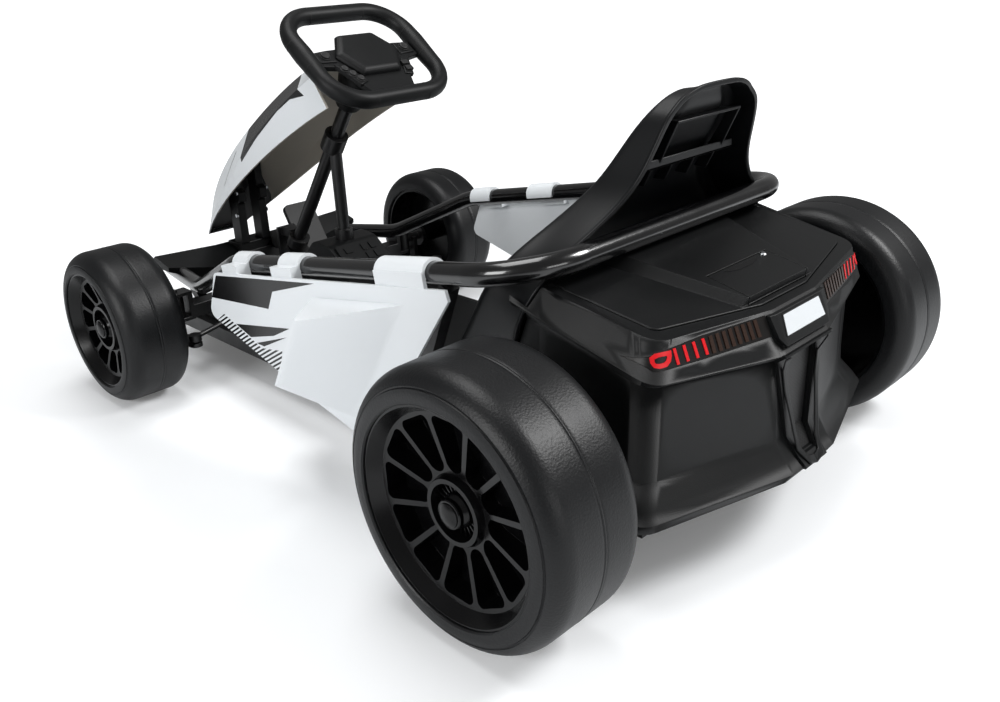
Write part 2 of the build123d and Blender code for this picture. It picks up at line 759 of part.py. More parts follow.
def rear_nodes():
    seat_space = seat_form(2)
    lid = deck_slab(deck_gap, -deck_recess, deck_proud) + rear_hump()
    opening = hatch_block(hatch_ledge, -60, 60)
    hatch = lid & hatch_block(hatch_gap, -deck_recess + 3, 60)
    deck = lid - hatch_block(0, -deck_recess + 2, 60) - opening - seat_space
    body = body_form() - body_form(-body_wall, top_wall) - seat_space
    body = body - deck_slab(0, -deck_recess, 40) - opening
    lamp = skin(lamp_outline, 0, lamp_depth)
    lamp_space = skin(lamp_outline, 1, lamp_depth + lamp_gap, lamp_gap)
    grille = both_sides(grille_outline)
    body -= [lamp_space, mirrored(lamp_space), skin(grille, 1, 12)]
    body -= Pos(0, 0, rear_wheel_radius) * Rot(0, 90, 0) * Cylinder(axle_radius + 4, through)
    body = body.solids().sort_by(SortBy.VOLUME)[-1]
    mesh = Pos(0, -3, 0) * skin(grille, 0, 3, -lamp_gap)
    trim = skin(both_sides(frame_outline), frame_proud, 0) - facing_rear(grille, 1)
    nodes = {"rear_body": body, "rear_deck": deck, "rear_hatch": hatch, "tail_lamp_left": lamp,
             "tail_lamp_right": mirrored(lamp), "mesh_grille": mesh, "grille_frame": trim,
             "plate_pod": skin(both_sides(plate_outline), plate_proud, 0)}
    return {name: placed(0, 0, 0) * shape for name, shape in nodes.items()}


def battery():
    height = rear_wheel_radius - axle_radius - battery_gap - frame_top
    return placed(0, -5, frame_top) * Box(180, 98, height, align=standing)


def rear_axle():
    length = 2 * (rear_outer_x - rim_inset - shaft_recess)
    return Pos(0, rear_axle_y, rear_wheel_radius) * Rot(0, 90, 0) * Cylinder(axle_radius, length)


def gearbox():
    """Case with its motor, between the rear body and the wheel."""
    width = rear_outer_x - rear_tyre_width - 4 - gearbox_x
    case = Pos(gearbox_x + width / 2, 0, 0) * Rot(0, 90, 0) * Cylinder(gearbox_radius, width)
    motor = Pos(gearbox_x + width / 2, motor_y, 0) * Rot(0, 90, 0) * Cylinder(motor_radius, width - 8)
    bore = Rot(0, 90, 0) * Cylinder(axle_radius, through)
    return Pos(0, rear_axle_y, rear_wheel_radius) * (case + motor - bore)


os.makedirs("parts", exist_ok=True)

rear = (rear_wheel_radius, rear_tyre_width, rear_outer_x, rear_axle_y, rear_sidewall, axle_radius)
front = (front_wheel_radius, front_tyre_width, front_outer_x, front_axle_y, front_sidewall, stub_radius)
for name, side, (radius, width, outer_x, axle_y, sidewall, shaft) in (
        ("rear_left", 1, rear), ("rear_right", -1, rear),
        ("front_left", 1, front), ("front_right", -1, front)):
    wheel_nodes(name, side, radius, width, outer_x, axle_y, radius - sidewall, shaft + running_clearance)

write("perimeter_tube", perimeter_tube())
write("lower_frame", lower_frame())
write("floor_pan", floor_pan())
write("front_axle_beam", axle_beam())
for side_name, turn in (("left", lambda shape: shape), ("right", mirrored)):
    write(f"knuckle_{side_name}", turn(knuckle()))
    write(f"tie_rod_{side_name}", turn(tie_rod()))
    write(f"foot_wing_{side_name}", turn(foot_wing()))
    write(f"side_pod_{side_name}", turn(side_pod()))
    write(f"gearbox_{side_name}", turn(gearbox()))
write("steering_column", steering_column())
write("steering_rim", wheel_rim())
write("steering_pad", wheel_pad())
write("column_brace", column_brace())
write("column_bearing", column_bearing())
write("console", console())
write("switch_panel", switch_panel())
write("pedal_right", pedal())
write("nose_panel", nose_panel())
write("nose_post", nose_post())
for name, shape in seat_parts().items():
    write(name, shape)
for name, shape in rear_nodes().items():
    write(name, shape)
write("rear_axle", rear_axle())
write("battery", battery())
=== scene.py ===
"""Electric drift kart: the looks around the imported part."""

import json
from math import cos, pi, radians, sin

import bmesh
import bpy
from mathutils import Matrix, Vector
from mathutils.bvhtree import BVHTree


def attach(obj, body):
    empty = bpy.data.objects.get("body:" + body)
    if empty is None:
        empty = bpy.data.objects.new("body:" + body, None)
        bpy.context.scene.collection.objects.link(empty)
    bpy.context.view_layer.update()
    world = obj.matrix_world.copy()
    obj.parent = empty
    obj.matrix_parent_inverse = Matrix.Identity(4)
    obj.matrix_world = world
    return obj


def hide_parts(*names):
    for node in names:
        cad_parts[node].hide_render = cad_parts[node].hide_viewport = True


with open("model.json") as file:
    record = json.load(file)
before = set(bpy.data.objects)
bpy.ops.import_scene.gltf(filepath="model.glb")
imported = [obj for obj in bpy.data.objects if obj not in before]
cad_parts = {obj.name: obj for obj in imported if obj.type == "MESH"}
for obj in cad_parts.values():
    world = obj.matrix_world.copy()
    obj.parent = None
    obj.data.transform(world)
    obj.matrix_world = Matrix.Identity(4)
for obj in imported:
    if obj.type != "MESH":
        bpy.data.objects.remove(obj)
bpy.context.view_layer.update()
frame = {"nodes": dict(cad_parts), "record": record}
nodes = frame["nodes"]
MM = 0.001
REAR_AXLE = 467              # from the origin, in millimetres
FRONT_AXLE = -361


def point(x, y, z):
    """A place in metres from millimetres, with y counted from the rear axle."""
    return Vector((x, y + REAR_AXLE, z)) * MM


# Materials

ABS_WHITE = "#dfe3e6"
# Painted shade: the grey of the white nose shield's inner faces.
PAINTED_SHADE_GREY = "#b9b3a8"
PRINT_BLACK = "#0b0b0c"


def linear(code):
    """A colour written as an sRGB hex value, as the linear RGBA that the shader takes."""
    channels = [int(code[i:i + 2], 16) / 255 for i in (1, 3, 5)]
    return [c / 12.92 if c <= 0.04045 else ((c + 0.055) / 1.055) ** 2.4 for c in channels] + [1.0]


def add(tree, kind, settings=None, **links):
    """Adds a node. settings are its properties and input values, links its inputs' sources."""
    node = tree.nodes.new(kind)
    for key, value in (settings or {}).items():
        if hasattr(node, str(key)):
            setattr(node, key, value)
        else:
            node.inputs[key].default_value = value
    for key, source in links.items():
        socket = node.inputs[int(key[1:])] if key[1:].isdigit() else node.inputs[key.replace("_", " ")]
        tree.links.new(source, socket)
    return node


def material(name, hex_colour, roughness, **shader_values):
    """A material with its shader, and the place of the surface in metres."""
    made = bpy.data.materials.new(name)
    made.use_nodes = True
    tree = made.node_tree
    shader = tree.nodes["Principled BSDF"]
    shader.inputs["Base Color"].default_value = linear(hex_colour)
    shader.inputs["Roughness"].default_value = roughness
    for key, value in shader_values.items():
        shader.inputs[key.replace("_", " ")].default_value = value
    place = add(tree, "ShaderNodeTexCoord").outputs["Object"]
    return made, tree, shader, place


def uneven_sheen(tree, shader, place, scale, low, high):
    """Roughness that drifts between two values, as handled and moulded surfaces have it."""
    wide = add(tree, "ShaderNodeTexNoise", {"Scale": scale, "Detail": 4.0}, Vector=place)
    sheen = add(tree, "ShaderNodeMapRange", {"To Min": low, "To Max": high}, Value=wide.outputs["Fac"])
    tree.links.new(sheen.outputs["Result"], shader.inputs["Roughness"])


def moulded_grain(tree, shader, place, grain_mm, depth_mm, strength):
    """Spark-eroded grain of an injection mould: small cells in relief."""
    cells = add(tree, "ShaderNodeTexVoronoi", {"Scale": 1 / (grain_mm * MM)}, Vector=place)
    fine = add(tree, "ShaderNodeTexNoise", {"Scale": 1 / (grain_mm * MM * 0.6), "Detail": 3.0}, Vector=place)
    mixed = add(tree, "ShaderNodeMath", {"operation": "ADD"}, _0=cells.outputs["Distance"], _1=fine.outputs["Fac"])
    bump = add(tree, "ShaderNodeBump", {"Distance": depth_mm * MM, "Strength": strength}, Height=mixed.outputs[0])
    tree.links.new(bump.outputs["Normal"], shader.inputs["Normal"])


def two_tone(tree, shader, mask, ground, print_colour):
    """One colour where the mask is 0, the other where it is 1."""
    tint = add(tree, "ShaderNodeMix", {"data_type": "RGBA", 6: linear(ground), 7: linear(print_colour)}, _0=mask)
    tree.links.new(tint.outputs[2], shader.inputs["Base Color"])


def eva_tyre():
    """Foamed EVA tyre: black, skinned in the mould, with a fine leather grain and a dull sheen."""
    made, tree, shader, place = material("eva_tyre_skin", "#090a0c", 0.38, Specular_IOR_Level=0.32)
    moulded_grain(tree, shader, place, 2.6, 0.22, 0.6)
    uneven_sheen(tree, shader, place, 12.0, 0.36, 0.48)
    return made


def black_polypropylene():
    """Polypropylene from a grained mould: satin black, small sparkle of the grain."""
    made, tree, shader, place = material("grained_polypropylene_black", "#090a0b", 0.42, Specular_IOR_Level=0.27)
    moulded_grain(tree, shader, place, 1.1, 0.09, 0.6)
    uneven_sheen(tree, shader, place, 14.0, 0.4, 0.5)
    return made


def seat_polyethylene():
    """Blow-moulded polyethylene: waxy satin black, slightly uneven."""
    made, tree, shader, place = material("blow_moulded_polyethylene_black", "#08090b", 0.36,
                                         Specular_IOR_Level=0.28)
    moulded_grain(tree, shader, place, 1.5, 0.06, 0.5)
    uneven_sheen(tree, shader, place, 9.0, 0.34, 0.46)
    return made


def grip_rubber():
    """Soft-touch moulding of the steering wheel: black, dull, fine grain."""
    made, tree, shader, place = material("soft_touch_moulding_black", "#090a0b", 0.4, Specular_IOR_Level=0.24)
    moulded_grain(tree, shader, place, 0.9, 0.07, 0.5)
    uneven_sheen(tree, shader, place, 20.0, 0.4, 0.54)
    return made


def polished_abs():
    """ABS from a polished mould: black, clear reflections."""
    made, tree, shader, place = material("polished_abs_black", "#060607", 0.26, Specular_IOR_Level=0.28)
    uneven_sheen(tree, shader, place, 18.0, 0.18, 0.28)
    return made


def powder_coat():
    """Gloss powder coat on steel tube: black, faint orange peel."""
    made, tree, shader, place = material("gloss_powder_coat_black", "#060607", 0.2,
                                         Coat_Weight=0.6, Coat_Roughness=0.06)
    peel = add(tree, "ShaderNodeTexNoise", {"Scale": 240.0, "Detail": 1.0}, Vector=place)
    bump = add(tree, "ShaderNodeBump", {"Distance": 0.0002, "Strength": 0.3}, Height=peel.outputs["Fac"])
    tree.links.new(bump.outputs["Normal"], shader.inputs["Normal"])
    uneven_sheen(tree, shader, place, 30.0, 0.16, 0.26)
    return made


def satin_steel():
    """Black satin paint on the brackets and the lower frame."""
    made, tree, shader, place = material("satin_paint_black", "#0b0b0c", 0.36)
    uneven_sheen(tree, shader, place, 40.0, 0.3, 0.45)
    return made


def joined(tree, masks, how):
    """Several masks as one: MULTIPLY keeps what all of them share, MAXIMUM what any of them covers."""
    whole = masks[0]
    for mask in masks[1:]:
        whole = add(tree, "ShaderNodeMath", {"operation": how}, _0=whole, _1=mask).outputs[0]
    return whole


def inside_outline(tree, place, outline):
    """1 inside a convex outline drawn in the side view (y, z in millimetres), else 0. The outline runs
    anticlockwise with y to the right."""
    masks = []
    for (y0, z0), (y1, z1) in zip(outline, outline[1:] + outline[:1]):
        across = Vector((0, -(z1 - z0), y1 - y0)).normalized()
        limit = across.dot(point(0, y0, z0))
        depth = add(tree, "ShaderNodeVectorMath", {"operation": "DOT_PRODUCT", 1: across}, _0=place)
        masks.append(add(tree, "ShaderNodeMath", {"operation": "GREATER_THAN", 1: limit},
                         _0=depth.outputs["Value"]).outputs[0])
    return joined(tree, masks, "MULTIPLY")


def beyond(tree, place, across):
    """1 where the surface is farther out to either side than across, in millimetres."""
    x = add(tree, "ShaderNodeSeparateXYZ", Vector=place).outputs["X"]
    size = add(tree, "ShaderNodeMath", {"operation": "ABSOLUTE"}, _0=x)
    return add(tree, "ShaderNodeMath", {"operation": "GREATER_THAN", 1: across * MM}, _0=size.outputs[0]).outputs[0]


def bars(tree, place, direction, period, gap):
    """Bars across a direction, with a period in millimetres and a gap that is a share of it."""
    run = Vector(direction).normalized() / (period * MM)
    phase = add(tree, "ShaderNodeVectorMath", {"operation": "DOT_PRODUCT", 1: run}, _0=place).outputs["Value"]
    part = add(tree, "ShaderNodeMath", {"operation": "FRACT"}, _0=phase).outputs[0]
    return add(tree, "ShaderNodeMath", {"operation": "GREATER_THAN", 1: gap}, _0=part).outputs[0]


def white_panel(name, outlines, from_side, hatch=()):
    """White gloss ABS with black printed film on its outer side."""
    made, tree, shader, place = material(name, ABS_WHITE, 0.24)
    wave = add(tree, "ShaderNodeTexNoise", {"Scale": 9.0, "Detail": 1.0}, Vector=place)
    bump = add(tree, "ShaderNodeBump", {"Distance": 0.001, "Strength": 0.12}, Height=wave.outputs["Fac"])
    tree.links.new(bump.outputs["Normal"], shader.inputs["Normal"])
    prints = [inside_outline(tree, place, outline) for outline in outlines]
    if hatch:
        field = joined(tree, [inside_outline(tree, place, outline) for outline in hatch], "MAXIMUM")
        stripes = bars(tree, place, (0, -0.5, 0.87), 5.6, 0.5)
        prints.append(joined(tree, [field, stripes], "MULTIPLY"))
    film = joined(tree, [joined(tree, prints, "MAXIMUM"), beyond(tree, place, from_side)], "MULTIPLY")
    two_tone(tree, shader, film, ABS_WHITE, PRINT_BLACK)
    return made


def pod_white():
    """Side pod: a pointed black field along the top, two black wedges and a hatched band below."""
    outlines = [
        [(-641, 187), (-486, 205), (-470, 233), (-470, 249.3), (-618, 225)],
        [(-470, 233), (-368, 266), (-470, 249.3)],
        [(-582, 160), (-545, 149), (-482, 167), (-440, 188)],
        [(-532, 143.5), (-512, 143.5), (-450, 173)]]
    hatch = [[(-640, 150), (-500, 112), (-520, 139), (-612, 168)],
             [(-520, 139), (-505, 112), (-478, 112), (-466, 149)]]
    return white_panel("gloss_abs_white_pod", outlines, 269, hatch)


def nose_white():
    """Nose shield: a black wedge on each flank and a thin line near its lower edge."""
    outlines = [
        [(-704, 421), (-664, 442), (-680, 480), (-740, 470)],
        [(-664, 442), (-625, 450), (-680, 480)],
        [(-778, 372), (-704, 421), (-740, 470), (-800, 430)],
        [(-838, 327), (-778, 372), (-800, 430), (-850, 380)],
        [(-925.5, 273.5), (-921.5, 275), (-888.5, 335.5), (-892, 335)]]
    return white_panel("gloss_abs_white_nose", outlines, 30)


def nose_inner():
    """Inner face of the nose shield: warm grey, painted shade on the white shield's inner side, with a black
    stiffener in its tip.
    """
    made, tree, shader, place = material("painted_shade_grey_abs", PAINTED_SHADE_GREY, 0.5)
    tip = inside_outline(tree, place, [(-1100, 100), (-985, 100), (-985, 320), (-1100, 320)])
    two_tone(tree, shader, tip, PAINTED_SHADE_GREY, PRINT_BLACK)
    uneven_sheen(tree, shader, place, 14.0, 0.42, 0.58)
    return made


def red_film():
    """Red reflecting film under a clear gloss lens."""
    made, tree, shader, place = material("red_lens_film", "#d4161e", 0.35, Specular_IOR_Level=0.3)
    uneven_sheen(tree, shader, place, 60.0, 0.3, 0.42)
    return made


def smoked_lens():
    """Smoked brown lens, nearly black between its flutes."""
    made, tree, shader, place = material("smoked_lens_brown", "#0b0807", 0.4, Specular_IOR_Level=0.3)
    uneven_sheen(tree, shader, place, 60.0, 0.34, 0.46)
    return made


def fine_mesh():
    """Black mesh insert: small diamond holes, drawn as dimples in relief and painted near black, painted shade for
    what lies behind them.
    """
    made, tree, shader, place = material("expanded_mesh_black", "#0a0a0a", 0.5)
    holes = joined(tree, [bars(tree, place, (0.8, 0, slope), 3.4, 0.3) for slope in (1, -1)], "MULTIPLY")
    bump = add(tree, "ShaderNodeBump", {"Distance": 0.001, "Strength": 1.0, "invert": True}, Height=holes)
    tree.links.new(bump.outputs["Normal"], shader.inputs["Normal"])
    # Painted shade: the holes are painted near black, the strands dark grey.
    two_tone(tree, shader, holes, "#19191a", "#020202")
    return made


def plain_paint(name, hex_colour, roughness, scale, **values):
    """One colour with a slightly uneven sheen, for small pieces."""
    made, tree, shader, place = material(name, hex_colour, roughness, **values)
    uneven_sheen(tree, shader, place, scale, roughness * 0.85, roughness * 1.2)
    return made


paints = {
    "tyre": eva_tyre(), "gloss_black": polished_abs(), "tube": powder_coat(), "steel": satin_steel(),
    "plastic": black_polypropylene(), "seat": seat_polyethylene(), "grip": grip_rubber(),
    "pod": pod_white(), "nose": nose_white(), "lens": smoked_lens(), "red": red_film(), "mesh": fine_mesh(),
    # Painted highlight: the lens's own flutes, painted a lighter brown than the lens.
    "flute": plain_paint("smoked_lens_flute_painted_light_brown", "#2c1a10", 0.3, 60.0),
    "zinc": plain_paint("zinc_plated_steel", "#b4b7ba", 0.26, 400.0, Metallic=1.0),
    "nose_inner": nose_inner(),
    "plate": plain_paint("printed_plate_white", "#d9dde0", 0.3, 30.0),
    # Painted shade for gaps: the plate's dark edge and the grip's seams.
    "painted_shadow_gap": plain_paint("shadow_gap_black", "#020202", 0.7, 30.0),
    "key": plain_paint("keypad_silicone_black", "#0f0f10", 0.55, 60.0)}

slot_paints = {
    "tyre": "tyre", "rim_black": "gloss_black", "frame_gloss": "tube", "frame_steel": "steel",
    "black_plastic": "plastic", "seat_plastic": "seat", "white_plastic": "pod", "lamp_red": "lens",
    "mesh_black": "mesh", "grip_black": "grip", "zinc_steel": "zinc"}
slots = {entry["node"]: entry["material_slot"] for entry in frame["record"]["subparts"]}
bodies = {name: body for body, names in frame["record"]["behaviour"]["bodies"].items() for name in names}
own_paints = {"nose_panel": "nose", "mesh_grille": "mesh"}


def paint_of(name):
    """The paint of a CAD piece: its own, or else that of its slot."""
    return own_paints.get(name, slot_paints[slots[name]])


for name, node in nodes.items():
    node.data.materials.clear()
    node.data.materials.append(paints[paint_of(name)])


# Modelling

def piece(name, bm, paint, body, stands_for=(), sharp=35):
    """The mesh being built becomes an object that rides a body."""
    bmesh.ops.recalc_face_normals(bm, faces=bm.faces)
    mesh = bpy.data.meshes.new(name)
    bm.to_mesh(mesh)
    bm.free()
    for polygon in mesh.polygons:
        polygon.use_smooth = True
    mesh.set_sharp_from_angle(angle=radians(sharp))
    mesh.materials.append(paints[paint])
    made = bpy.data.objects.new(name, mesh)
    bpy.context.scene.collection.objects.link(made)
    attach(made, body)
    if stands_for:
        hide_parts(*stands_for)
    return made


def round_edges(made, width, segments=2, angle=35):
    """Rounds the edges of a piece that are sharper than an angle; width in millimetres."""
    bevel = made.modifiers.new("rounded_edges", "BEVEL")
    bevel.width = width * MM
    bevel.segments = segments
    bevel.limit_method = "ANGLE"
    bevel.angle_limit = radians(angle)


def eased(name, width, weighted=True):
    """A CAD piece with its sharp edges rounded, as moulded and pressed parts have them."""
    bm = bmesh.new()
    bm.from_mesh(nodes[name].data)
    bmesh.ops.remove_doubles(bm, verts=bm.verts, dist=2e-6)
    bmesh.ops.dissolve_limit(bm, angle_limit=radians(0.05), verts=bm.verts, edges=bm.edges)
    made = piece(name + "_eased", bm, paint_of(name), bodies[name], [name], 50)
    round_edges(made, width)
    if weighted:
        made.modifiers.new("flat_faces_stay_flat", "WEIGHTED_NORMAL").keep_sharp = True


def solid_of(bm, outline, place, low, high):
    """Prism over a flat outline between two heights. place turns a point of the outline and a height
    into a place."""
    foot, top = ([bm.verts.new(place(*p, height)) for p in outline] for height in (low, high))
    bm.faces.new(foot)
    bm.faces.new(reversed(top))
    for j in range(len(outline)):
        bm.faces.new((foot[j - 1], foot[j], top[j], top[j - 1]))


def band(bm, low, high):
    """Faces between two closed rings that have as many points."""
    for j in range(len(low)):
        n = (j + 1) % len(low)
        bm.faces.new((low[j], low[n], high[n], high[j]))


def box_between(bm, low, high):
    """Block between two corners, given in millimetres from the rear axle."""
    a, b = point(*low), point(*high)
    place = Matrix.Translation((a + b) / 2) @ Matrix.Diagonal((*(b - a), 1))
    bmesh.ops.create_cube(bm, size=1, matrix=place)


def turned(bm, outline, centre, axis, steps):
    """Full turn of an outline of points (along the axis, radius) about an axis through centre."""
    side = Vector((0, 0, 1)) if abs(axis.z) < 0.9 else Vector((1, 0, 0))
    side = (side - axis * side.dot(axis)).normalized()
    verts = [bm.verts.new(centre + axis * (along * MM) + side * (radius * MM)) for along, radius in outline]
    edges = [bm.edges.new(pair) for pair in zip(verts, verts[1:])]
    bmesh.ops.spin(bm, geom=verts + edges, cent=centre, axis=axis, angle=2 * pi, steps=steps, use_merge=True)


def arc(centre, radius, start, end, steps):
    """Points of an arc, by angles in degrees."""
    cx, cy = centre
    angles = [radians(start + (end - start) * i / steps) for i in range(steps + 1)]
    return [(cx + radius * cos(a), cy + radius * sin(a)) for a in angles]


def to_side(outline, side):
    """An outline of points (x, z) as it is on the left (1), or mirrored for the right (-1)."""
    return [(side * x, z) for x, z in outline]


# Tyres and rims

def tyre(name, radius, width, outer_x, axle_y, sidewall):
    """Slick foam tyre with a mould seam round its middle and a line on its outer shoulder."""
    bead, shoulder, inner = radius - sidewall, 27, 21.6
    outer_arc = arc((-shoulder, radius - shoulder), shoulder, 0, 90, 14)
    line_at = 3
    (x0, r0), (x1, r1) = outer_arc[line_at], outer_arc[line_at + 1]
    groove = [(x0 - 0.9, r0 + 0.1), ((x0 + x1) / 2 - 1.2, (r0 + r1) / 2 - 0.6), (x1 - 0.5, r1 - 0.4)]
    middle = -(shoulder + width - inner) / 2
    seam = [(middle + 5, radius), (middle + 3, radius - 0.1), (middle + 1.6, radius - 0.5),
            (middle + 0.6, radius + 0.2), (middle - 0.6, radius + 0.2), (middle - 1.6, radius - 0.5),
            (middle - 3, radius - 0.1), (middle - 5, radius)]
    outline = [(-6, bead - 0.6), (-1.5, bead - 0.4), (0, bead + 1.2),
               *outer_arc[:line_at + 1], *groove, *outer_arc[line_at + 1:],
               (-shoulder - 1.5, radius), *seam, (-width + inner + 1.5, radius),
               *arc((-width + inner, radius - inner), inner, 90, 180, 10),
               (-width, bead + 1), (-width + 1.5, bead - 0.4), (-width + 6, bead - 0.6)]
    outline.append(outline[0])
    side = 1 if name.endswith("left") else -1
    bm = bmesh.new()
    turned(bm, outline, Vector((side * outer_x, axle_y, radius)) * MM, Vector((side, 0, 0)), 112)
    bmesh.ops.remove_doubles(bm, verts=bm.verts, dist=1e-6)
    piece(name + "_skin", bm, "tyre", bodies[name], [name], 40)


def wheel_details(name, radius, outer_x, axle_y):
    """Domed cap and the small ribs of the recessed ring around it."""
    cap_depth, ring_depth, ring_radius, ribs = 15, 31, 23, 24
    rib_length, rib_height, rib_thickness = 8, 9, 1.6
    side = 1 if name.endswith("left") else -1
    axis = Vector((side, 0, 0))
    centre = Vector((side * outer_x, axle_y, radius)) * MM
    bm = bmesh.new()
    turned(bm, [(-3, 15.5), (1, 15.5), (2.2, 14.6), (2.4, 13), (3.6, 12.6), (5.4, 9), (6.2, 5), (6.4, 0.01)],
           centre - axis * cap_depth * MM, axis, 48)
    for i in range(ribs):
        a = 2 * pi * i / ribs
        out = Vector((0, cos(a), sin(a)))
        across = axis.cross(out)
        shape = Matrix((axis * rib_length * MM, out * rib_height * MM, across * rib_thickness * MM))
        place = Matrix.Translation(centre - axis * ring_depth * MM + out * ring_radius * MM)
        bmesh.ops.create_cube(bm, size=1, matrix=place @ shape.transposed().to_4x4())
    piece(name + "_cap", bm, "gloss_black", bodies[name], sharp=30)


for end, radius, width, outer_x, axle_y, sidewall in (
        ("rear", 148, 123, 405, REAR_AXLE, 33), ("front", 120, 102, 380, FRONT_AXLE, 29)):
    for hand in ("left", "right"):
        tyre(f"tyre_{end}_{hand}", radius, width, outer_x, axle_y, sidewall)
        eased(f"rim_{end}_{hand}", 0.9)
        wheel_details(f"rim_{end}_{hand}", radius, outer_x, axle_y)


# Seat

SEAT_EDGE = [
    # height, half width
    (503, 54), (492, 69), (476, 80), (455, 87), (430, 94), (405, 102), (385, 114), (365, 142), (345, 182),
    (325, 212), (305, 222), (250, 222), (150, 186), (74, 168)]

SEAT_STATIONS = [
    # front line y, z from the front of the pan to the top of the back, then the flange behind it
    (-335, 138, -335, 80), (-290, 146, -300, 77), (-222, 168, -240, 77), (-185, 205, -180, 80),
    (-150, 243, -130, 112), (-130, 275, -95, 190), (-113, 306, -70, 250), (-96, 335, -52, 296),
    (-80, 362, -34, 336), (-62, 391, -15, 372), (-48, 412, -1, 404), (-34, 435, 9, 431),
    (-20, 458, 17, 456), (-6, 479, 23, 477), (3, 494, 27, 495)]
SEAT_TOP = len(SEAT_STATIONS) - 1
SEAT_WALL = 4


def seat_half(z):
    """Half width of the seat at a height."""
    for (z1, w1), (z0, w0) in zip(SEAT_EDGE, SEAT_EDGE[1:]):
        if z >= z0:
            return w0 + (w1 - w0) * (min(z, z1) - z0) / (z1 - z0)
    return SEAT_EDGE[-1][1]


def corner_fall(i, share):
    """How far the top of the back falls towards its corners, at a share of the half width."""
    return {SEAT_TOP: 13, SEAT_TOP - 1: 5}.get(i, 0) * share ** 4


def seat_rows(bm):
    """Rows of points over the seat's front: a pan sunk between two bolsters."""
    recess, bolster = 15, 24
    rows = []
    for i, (y, z, _, _) in enumerate(SEAT_STATIONS):
        ahead = SEAT_STATIONS[min(i + 1, SEAT_TOP)]
        behind = SEAT_STATIONS[max(i - 1, 0)]
        run = Vector((ahead[0] - behind[0], ahead[1] - behind[1])).normalized()
        back = Vector((run.y, -run.x)) * recess * (0.35 if i in (0, SEAT_TOP) else 1)
        half = seat_half(z)
        pan = half - bolster - 14
        across = [
            # x, share of the recess
            (0, 1), (pan * 0.5, 1), (pan * 0.85, 1), (pan, 0.9), (pan + 7, 0.45), (pan + 14, 0.12),
            (half - bolster * 0.5, -0.05), (half - 4, 0.02), (half, 0.2)]
        row = []
        for x, depth in [(-x, depth) for x, depth in reversed(across[1:])] + across:
            fall = corner_fall(i, x / half)
            row.append(bm.verts.new(point(x, y + back.x * depth - 0.4 * fall, z + back.y * depth - fall)))
        rows.append(row)
    return rows


def seat_shell():
    """Thin moulded shell: the front, and walls back to a flange that sweeps out to the rails."""
    bm = bmesh.new()
    rows = seat_rows(bm)
    for low, high in zip(rows, rows[1:]):
        for j in range(len(low) - 1):
            bm.faces.new((low[j], low[j + 1], high[j + 1], high[j]))
    last = len(rows[0]) - 1
    border = [(0, j) for j in range(last + 1)] + [(i, last) for i in range(1, len(rows))]
    border += [(SEAT_TOP, j) for j in range(last - 1, -1, -1)] + [(i, 0) for i in range(SEAT_TOP - 1, 0, -1)]
    ring = [rows[i][j] for i, j in border]
    starts = [vert.co.copy() for vert in ring]
    goals = []
    for i, j in border:
        _, _, y, z = SEAT_STATIONS[i]
        share = rows[i][j].co.x / abs(rows[i][last].co.x)
        fall = corner_fall(i, share)
        goals.append(point(share * seat_half(z), y - 0.4 * fall, z - fall))
    for part, flare in ((0.12, 0), (0.5, 0), (0.93, 0), (1.0, 0.3), (1.0, 2.5), (1.0, 5.5)):
        fresh = []
        for start, goal in zip(starts, goals):
            away = Vector((goal.x, 0, (goal.z - 0.3) * 0.35)).normalized()
            fresh.append(bm.verts.new(start.lerp(goal, part) + away * flare * MM))
        band(bm, ring, fresh)
        ring = fresh
    shell = piece("seat_shell", bm, "seat", "chassis", ["seat_base", "seat_backrest"], 180)
    smooth = shell.modifiers.new("smooth_moulding", "SUBSURF")
    smooth.levels = smooth.render_levels = 2
    thick = shell.modifiers.new("wall", "SOLIDIFY")
    thick.thickness = SEAT_WALL * MM
    thick.offset = -1


def in_side_view(y, z, x):
    """A place from a point of the side view and its distance from the middle."""
    return point(x, y, z)


def seat_ribs():
    """Shelves and webs that stiffen the back from behind."""
    bm = bmesh.new()
    box_between(bm, (-84, -30, 414), (84, -9, 417))
    box_between(bm, (-84, -12, 414), (84, -9, 424))
    for places, outline, half in (
            ((-62, -22, 20, 58), [(-45, 392), (-28, 392), (-15, 416), (-30, 416)], 1.2),
            ((-62, 56), [(-28, 417), (-10, 417), (13, 464), (0, 464)], 1.4)):
        for x in places:
            solid_of(bm, outline, in_side_view, x - half, x + half)
    box_between(bm, (-63, 0, 462), (57, 13, 465))
    round_edges(piece("seat_ribs", bm, "seat", "chassis"), 0.8)


seat_shell()
seat_ribs()


# Rear body

def surface(*names):
    """The surface of CAD pieces, to lay details on."""
    bm = bmesh.new()
    for name in names:
        bm.from_mesh(nodes[name].data)
    tree = BVHTree.FromBMesh(bm)
    bm.free()
    return tree


def from_behind(tree, x, z, lift):
    """Place on a surface that is met from behind at x and a height, lifted off it."""
    place, normal, _, _ = tree.ray_cast(point(x, 400, z), Vector((0, -1, 0)))
    return place + normal * lift * MM


def from_above(tree, x, y):
    """Place on a surface that is met from above, and which way the surface looks there."""
    place, normal, _, _ = tree.ray_cast(point(x, y, 500), Vector((0, 0, -1)))
    return place, normal


def laid_strip(bm, tree, lower, upper, lift, thickness):
    """Plate over a surface between a lower and an upper line (x, z), which have as many points."""
    outer, inner = [], []
    for ends in zip(lower, upper):
        outer.append([bm.verts.new(from_behind(tree, x, z, lift + thickness)) for x, z in ends])
        inner.append([bm.verts.new(from_behind(tree, x, z, lift)) for x, z in ends])
    for a, b, c, d in zip(outer, outer[1:], inner, inner[1:]):
        bm.faces.new((a[0], b[0], b[1], a[1]))
        bm.faces.new((c[0], d[0], d[1], c[1]))
        for k in (0, 1):
            bm.faces.new((a[k], b[k], d[k], c[k]))
    for a, c in ((outer[0], inner[0]), (outer[-1], inner[-1])):
        bm.faces.new((a[0], a[1], c[1], c[0]))


